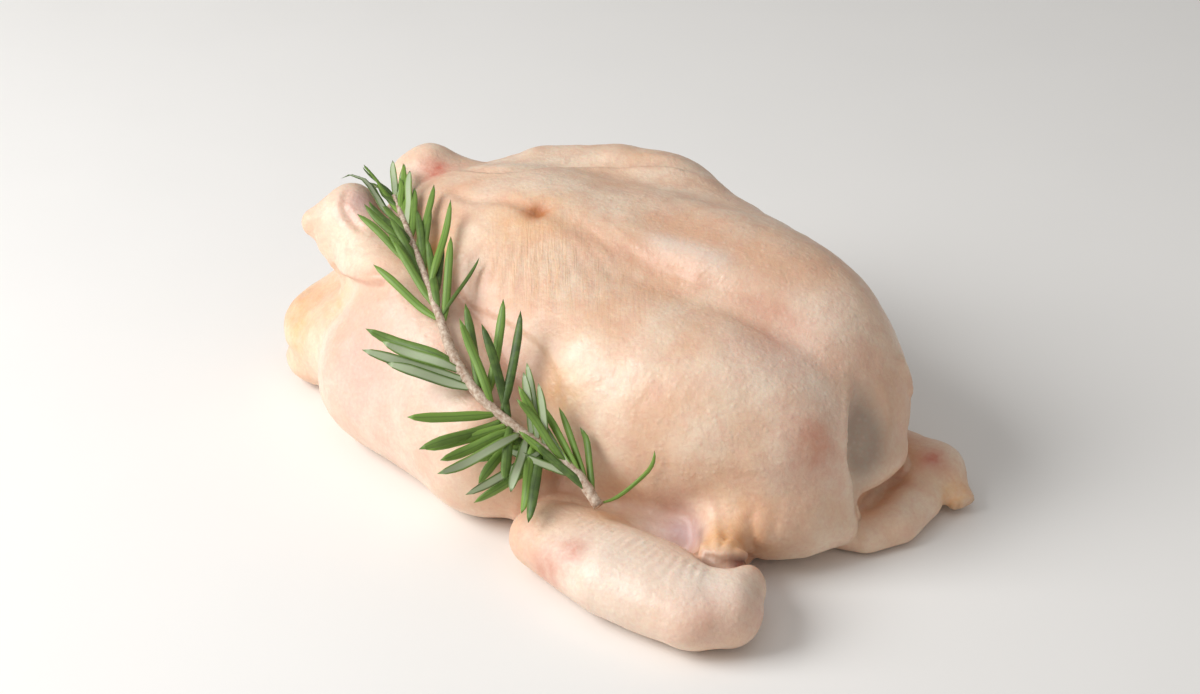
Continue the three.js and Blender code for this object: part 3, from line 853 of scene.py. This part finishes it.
def stem_material(look):
    shader = Shader("rosemary_stem")
    streaks = shader.spread(shader.noise(0.0015, 4, 0.65), 0.35, 0.65)
    colour = shader.mix(streaks, look.wood, look.young_wood)
    normal = shader.bump(streaks, 0.0003, 0.6)
    return shader.finish(Base_Color=colour, Roughness=0.65, Normal=normal)


# ---- settings


def tint(name, description, code):
    """A colour that a user may change, with its default as a six-figure code."""
    return FloatVectorProperty(name=name, description=description, subtype="COLOR", size=4,
                               default=linear(code), min=0, max=1)


def measure(name, description, usual, least, most):
    """A length that a user may change, given in millimetres."""
    return FloatProperty(name=name, description=description, subtype="DISTANCE", unit="LENGTH",
                         default=usual * MM, min=least * MM, max=most * MM)


class SkinSettings(bpy.types.PropertyGroup):
    cell: measure("Net spacing", "Side of the cells that the skin is sculpted in", 1.22, 1.2, 5)
    pore_spacing: measure("Pore spacing", "Distance between feather pores", 2.6, 1, 9)
    cream: tint("Cream", "Lighter skin", "f2dcc3")
    peach: tint("Peach", "Warmer skin", "e6bf9f")
    blush: tint("Blush", "Flesh that shows through the skin", "e3b49d")
    blood: tint("Blood", "Bruises and blood under the skin", "cb7763")
    fat: tint("Fat", "Yellow fat under the skin", "f0b777")
    pink: tint("Pink", "Pale pink skin over the thigh and wing", "efd3c8")
    # the brown of the breastbone's hollow, also used as painted shade over the far breast and other shaded
    # spots
    dent_and_shade: tint("Dent", "Brown skin in the breastbone's hollow", "b8703c")
    # painted shade, darkening the crack where the breast's skin meets the wing and the fold of the web
    crack_shade: tint("Deep crack", "The dark crack where the breast's skin meets the wing", "5e2a12")
    mauve: tint("Mauve", "Joints and thin membranes", "b596a0")
    # pale skin over bone, also used as painted light on the wing's end, the membrane and the keel
    pale: tint("Pale", "Stretched skin over bone", "f4e9dc")
    # painted shade for the sunken neck panel, which faces away from the light
    shade: tint("Grey", "Thin grey skin of the neck", "9c8f80")
    # painted shade, darkening the skin along the seams between the parts and deep in the folds
    crease_shade: tint("Crease", "Skin deep in the folds", "c98263")


class RosemarySettings(bpy.types.PropertyGroup):
    seed: IntProperty(name="Seed", description="Seed of the leaves' small differences", default=SPRIG_SEED,
                      min=1)
    leaf_width: measure("Leaf width", "Widest part of a leaf", 3.3, 1, 8)
    leaf_depth: measure("Leaf depth", "Thickness of a leaf", 0.9, 0.2, 3)
    dark_green: tint("Dark green", "Old leaves", "384d20")
    bright_green: tint("Bright green", "Young leaves", "7d9f42")
    underside: tint("Underside", "Pale back of a leaf", "b3c09c")
    wood: tint("Wood", "Old bark of the stem", "a5846d")
    young_wood: tint("Young wood", "Young bark of the stem", "dccab6")


class StageSettings(bpy.types.PropertyGroup):
    floor: tint("Floor", "Colour of the floor", "f6f4f1")
    key_power: FloatProperty(name="Key light", description="Power of the large light", default=16.0,
                             min=0, max=500, subtype="POWER", unit="POWER")
    lens: FloatProperty(name="Lens", description="Focal length of the camera, in millimetres", default=66.0,
                        min=10, max=300)


# ---- pieces


def finished(obj, replaced, material):
    """Gives a piece its material slot, smooth shading and body, and hides the part that it replaces."""
    obj.data.materials.append(material)
    obj.data.shade_smooth()
    if replaced:
        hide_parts(replaced)
    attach(obj, BODY)


# The rough nets that the skin takes its form in: their cells, and how often each one settles.
ROUGH_NETS = ((2.4 * MM, 3), (2.2 * MM, 2))


class CHICKEN_OT_skin(bpy.types.Operator):
    """Sculpt the bird's skin over its solid"""

    bl_idname = "chicken.skin"
    bl_label = "Skin"

    def execute(self, context):
        look = context.scene.chicken_skin
        form = bird()
        skin = Skin("chicken_skin")
        for cell, rounds in ROUGH_NETS:
            skin.even(cell)
            skin.settle(form, rounds)
        skin.soften(2)
        skin.even(look.cell)
        skin.settle(form, 2)
        sculpted(skin)
        self.mark(skin)
        finished(skin.obj, "chicken", skin_material(look))
        return {"FINISHED"}

    @staticmethod
    def mark(skin):
        p = skin.points
        leg_seam, wing_seams = seams(p, SHADE_PAINTED_SEAMS)
        wing_seams *= 1 - 0.8 * bell(near(p, MEMBRANE, 24)[0], 9)
        folds = -sum(groove(p, line, width, 1) for line, width in SHADE_PAINTED_FOLDS)
        # painted shade along the seams and in the folds
        skin.mark("crease_shade", 0.7 * leg_seam + 0.9 * wing_seams + 0.4 * folds)
        # the keel's pale streak carries a painted highlight; the crack and the web's fold get painted shade
        lines = {"pale": -groove(p, KEEL_STREAK, 5, 1, start=0.3, end=0.3),
                 "crack_shade": -groove(p, WING_CRACK, 2.6, 1.3, start=0.25, end=0) - groove(p, WEB_FOLD, 2.2, 0.6)}
        for name, spots in {**PATCHES, "crack_shade": ()}.items():
            amounts = sum(strength * patch(p, place, radius) for place, radius, strength in spots)
            skin.mark(name, amounts + lines.get(name, 0))


def draws_from(seed):
    """Repeatable draws between -1 and 1."""
    state = seed
    while True:
        state = state * 16807 % 2147483647
        yield 2 * state / 2147483647 - 1


def off_skin(places, clear=SKIN_GAP, rounds=3):
    """The places, with those moved out that are closer to the skin than they may be."""
    places = places.copy()
    for _ in range(rounds):
        low = PLAIN_BIRD(places) < clear
        places[low] = settled(places[low], PLAIN_BIRD, clear)
    return places


# The bird's solid form, which the sprig is laid out on.
PLAIN_BIRD = merged(TORSO, (NEAR_LEG_FORM, 10), (FAR_LEG_FORM, 10), (neck_flap(), 4), (wing_pit(), 8),
                    (NEAR_WING_FORM, 8), (WEB_FORM, 8), (FAR_WING_FORM, 7))


class Sprig:
    """The stem's route over the skin, and the directions at each place along it."""

    def __init__(self):
        clear = STEM_RADII["foot"] + SKIN_GAP
        self.route = Line(*off_skin(np.array(STEM_ROUTE), clear, rounds=1))

    def frame(self, share):
        centre = self.route.point(share)
        tipward = -self.route.tangent(share)
        side = unit(np.cross(slope_of(PLAIN_BIRD, centre[None, :])[0], tipward))
        return centre, tipward, side, np.cross(tipward, side)


def laid_out(draw, sprig):
    """For each leaf of each tuft, its width against the usual one and its course."""
    for tuft in TUFTS:
        for n in range(tuft["leaves"]):
            part = n / max(tuft["leaves"] - 1, 1)
            hand = (-1) ** n if tuft["both"] else 1
            share = tuft["from"] + (tuft["to"] - tuft["from"]) * part
            length = tuft["length"] * (1 + LEAF_VARIES["length"] * next(draw))
            angle = math.radians(hand * (tuft["angle"] + tuft["vary"] * next(draw)))
            lift = tuft["lift"] + LEAF_VARIES["lift"] * next(draw)
            bend = tuft["bend"] * (LEAF_BEND + LEAF_VARIES["bend"] * next(draw))
            wave = LEAF_VARIES["wave"] * next(draw)
            yield tuft["width"], leaf_course(sprig.frame(share), length, angle, lift, bend, wave)


def leaf_course(spot, length, angle, lift, bend, wave):
    """A leaf's middle line, with a place for each of its rings."""
    centre, tipward, side, up = spot
    heading = unit(tipward * math.cos(angle) + side * math.sin(angle) + up * math.sin(abs(angle)) * lift)
    share = np.linspace(0, 1, LEAF_RINGS + 1)[:, None]
    swing = tipward * bend * share * share + up * wave * np.sin(2 * math.pi * share)
    return off_skin(centre + length * (heading * share + swing), LEAF_CLEAR)


def add_leaf(net, layers, course, width, depth, tone, over_up):
    """A needle leaf from a ball: a narrow blade with its margins rolled under, lying along the skin."""
    forward = np.gradient(course, axis=0)
    across = np.cross(forward, slope_of(PLAIN_BIRD, course))
    across /= np.linalg.norm(across, axis=1)[:, None]
    face = np.cross(across, forward) * (1 if over_up else -1)
    face /= np.linalg.norm(face, axis=1)[:, None]
    ball = bmesh.ops.create_uvsphere(net, u_segments=LEAF_SIDES, v_segments=LEAF_RINGS, radius=1)
    for vert in ball["verts"]:
        x, y, z = vert.co
        share = math.acos(max(-1.0, min(1.0, -z))) / math.pi
        row = round(share * LEAF_RINGS)
        ring = math.hypot(x, y)
        aside, over = (x / ring, y / ring) if ring > TINY else (0.0, 0.0)
        half = width / 2 * min(1.0, LEAF_HALF["foot"] + LEAF_HALF["grows"] * share,
                               math.sqrt(max(0.0, 1 - share)) * LEAF_HALF["ends"])
        thick = depth / 2 * min(1.0, LEAF_THICK["foot"] + LEAF_THICK["grows"] * share,
                                LEAF_THICK["ends"] * (1 - share) + LEAF_THICK["tip"])
        height = thick * over - LEAF_ROLL * half * aside * aside
        if over > 0:
            height -= LEAF_CHANNEL["depth"] * thick * bell(aside, LEAF_CHANNEL["width"])
        place = course[row] + across[row] * (half * aside) + face[row] * height
        vert.co = Vector(place * MM * BUILD)
        vert[layers["tone"]] = tone
        vert[layers["midrib"]] = 1 - abs(aside)
        vert[layers["underside"]] = 0.0 if over >= 0 else 1.0


class CHICKEN_OT_rosemary_leaves(bpy.types.Operator):
    """Grow the rosemary's needle leaves along the stem"""

    bl_idname = "chicken.rosemary_leaves"
    bl_label = "Rosemary leaves"

    def execute(self, context):
        look = context.scene.chicken_rosemary
        width, depth = look.leaf_width / MM / BUILD, look.leaf_depth / MM / BUILD
        tones = draws_from(SPRIG_SEED + 11)
        net = bmesh.new()
        layers = {name: net.verts.layers.float.new(name) for name in ("tone", "midrib", "underside")}
        for share, course in laid_out(draws_from(look.seed), Sprig()):
            tone, over_up = 0.5 + 0.5 * next(tones), next(tones) > LEAF_TURNED
            add_leaf(net, layers, course, width * share, depth, tone, over_up)
        bmesh.ops.recalc_face_normals(net, faces=net.faces)
        leaves = new_piece("rosemary_leaves", net)
        finished(leaves, "rosemary_sprig", leaf_material(look))
        return {"FINISHED"}


class CHICKEN_OT_rosemary_stem(bpy.types.Operator):
    """Lay the rosemary's woody stem over the leg"""

    bl_idname = "chicken.rosemary_stem"
    bl_label = "Rosemary stem"

    def execute(self, context):
        sprig = Sprig()
        draw = draws_from(SPRIG_SEED + 3)
        knots = [0.5 + 0.5 * next(draw) for _ in range(STEM_RINGS + 1)]
        net = bmesh.new()
        bmesh.ops.create_cone(net, cap_ends=True, segments=STEM_SIDES, radius1=1, radius2=1, depth=1)
        along = [e for e in net.edges if abs(e.verts[0].co.z - e.verts[1].co.z) > 0.5]
        bmesh.ops.subdivide_edges(net, edges=along, cuts=STEM_RINGS - 1, use_grid_fill=True)
        for vert in net.verts:
            share = vert.co.z + 0.5
            centre, _, side, up = sprig.frame(share)
            radius = STEM_RADII["tip"] + (STEM_RADII["foot"] - STEM_RADII["tip"]) * share
            bare = bell(share - BARE_STEM["share"], BARE_STEM["reach"])
            radius *= 1 + STEM_KNOTS * knots[round(share * STEM_RINGS)] + BARE_STEM["thicker"] * bare
            place = centre + (side * vert.co.x + up * vert.co.y) * radius
            vert.co = Vector(place * MM * BUILD)
        bmesh.ops.recalc_face_normals(net, faces=net.faces)
        stem = new_piece("rosemary_stem", net)
        finished(stem, None, stem_material(context.scene.chicken_rosemary))
        return {"FINISHED"}


def new_piece(name, net):
    mesh = bpy.data.meshes.new(name)
    net.to_mesh(mesh)
    net.free()
    obj = bpy.data.objects.new(name, mesh)
    bpy.context.scene.collection.objects.link(obj)
    return obj


# ---- stage

CAMERA_AZIMUTH, CAMERA_ELEVATION = 34.3, 35.9  # degrees; azimuth 0 looks along +Y
CAMERA_PIVOT = Vector((37.05, -64.6, 0)) * MM
CAMERA_DISTANCE = 761.33 * MM
CAMERA_AIM = Vector((7, -10, 40)) * MM
LIGHTS_AIM = Vector((0, 0, 30)) * MM
# Lights: azimuth, elevation, distance, size, and power against the key light.
LIGHTS = {
    "key_light": (-43, 38, 1.3, 0.8, 1.0),
    "top_light": (20, 80, 1.4, 1.0, 0.12),
    "fill_light": (75, 30, 1.6, 1.0, 0.05),
}
ROOM_COLOUR = (1, 0.99, 0.97, 1)
ROOM_LIGHT = 0.3


def look_at(obj, target):
    obj.rotation_euler = (target - obj.location).to_track_quat("-Z", "Y").to_euler()


def back_from(azimuth, elevation):
    a, e = math.radians(azimuth), math.radians(elevation)
    return Vector((math.sin(a) * math.cos(e), -math.cos(a) * math.cos(e), math.sin(e)))


class CHICKEN_OT_stage(bpy.types.Operator):
    """Set up the pale floor, the soft light and the camera"""

    bl_idname = "chicken.stage"
    bl_label = "Stage"

    def execute(self, context):
        look = context.scene.chicken_stage
        self.floor(look)
        self.lights(context, look)
        self.camera(context, look)
        context.scene.view_settings.view_transform = "Standard"
        return {"FINISHED"}

    @staticmethod
    def floor(look):
        net = bmesh.new()
        bmesh.ops.create_grid(net, x_segments=2, y_segments=2, size=6)
        bmesh.ops.translate(net, verts=net.verts, vec=(0, 0, GROUND - 0.2 * MM))
        floor = new_piece("floor", net)
        shader = Shader("pale_floor")
        grain = shader.spread(shader.noise(0.05, 2), 0.3, 0.7, 0.62, 0.72)
        floor.data.materials.append(shader.finish(Base_Color=look.floor, Roughness=grain))

    @staticmethod
    def lights(context, look):
        for name, (azimuth, elevation, distance, size, share) in LIGHTS.items():
            light = bpy.data.lights.new(name, "AREA")
            light.energy = look.key_power * share
            light.size = size
            obj = bpy.data.objects.new(name, light)
            obj.location = back_from(azimuth, elevation) * distance
            look_at(obj, LIGHTS_AIM)
            context.scene.collection.objects.link(obj)
        world = bpy.data.worlds.new("soft_room")
        world.use_nodes = True
        background = world.node_tree.nodes["Background"]
        background.inputs["Color"].default_value = ROOM_COLOUR
        background.inputs["Strength"].default_value = ROOM_LIGHT
        context.scene.world = world

    @staticmethod
    def camera(context, look):
        camera = bpy.data.objects.new("camera", bpy.data.cameras.new("camera"))
        camera.data.lens = look.lens
        camera.location = CAMERA_PIVOT + back_from(CAMERA_AZIMUTH, CAMERA_ELEVATION) * CAMERA_DISTANCE
        look_at(camera, CAMERA_AIM)
        context.scene.collection.objects.link(camera)
        context.scene.camera = camera


class CHICKEN_PT_sidebar(bpy.types.Panel):
    """The bird's pieces and settings"""

    bl_label = "Raw chicken"
    bl_space_type = "VIEW_3D"
    bl_region_type = "UI"
    bl_category = "Chicken"

    def draw(self, context):
        for settings, operators in (
            (context.scene.chicken_skin, (CHICKEN_OT_skin,)),
            (context.scene.chicken_rosemary, (CHICKEN_OT_rosemary_leaves, CHICKEN_OT_rosemary_stem)),
            (context.scene.chicken_stage, (CHICKEN_OT_stage,)),
        ):
            box = self.layout.box()
            for name in settings.__annotations__:
                box.prop(settings, name)
            for operator in operators:
                box.operator(operator.bl_idname)


SETTINGS = {
    "chicken_skin": SkinSettings,
    "chicken_rosemary": RosemarySettings,
    "chicken_stage": StageSettings,
}
CLASSES = (
    *SETTINGS.values(),
    CHICKEN_OT_skin,
    CHICKEN_OT_rosemary_leaves,
    CHICKEN_OT_rosemary_stem,
    CHICKEN_OT_stage,
    CHICKEN_PT_sidebar,
)


def register():
    for made in CLASSES:
        bpy.utils.register_class(made)
    for name, settings in SETTINGS.items():
        setattr(bpy.types.Scene, name, PointerProperty(type=settings))


def unregister():
    for name in SETTINGS:
        delattr(bpy.types.Scene, name)
    for made in reversed(CLASSES):
        bpy.utils.unregister_class(made)


def main():
    register()
    bpy.ops.chicken.skin()
    bpy.ops.chicken.rosemary_leaves()
    bpy.ops.chicken.rosemary_stem()
    bpy.ops.chicken.stage()


if __name__ == "__main__":
    main()
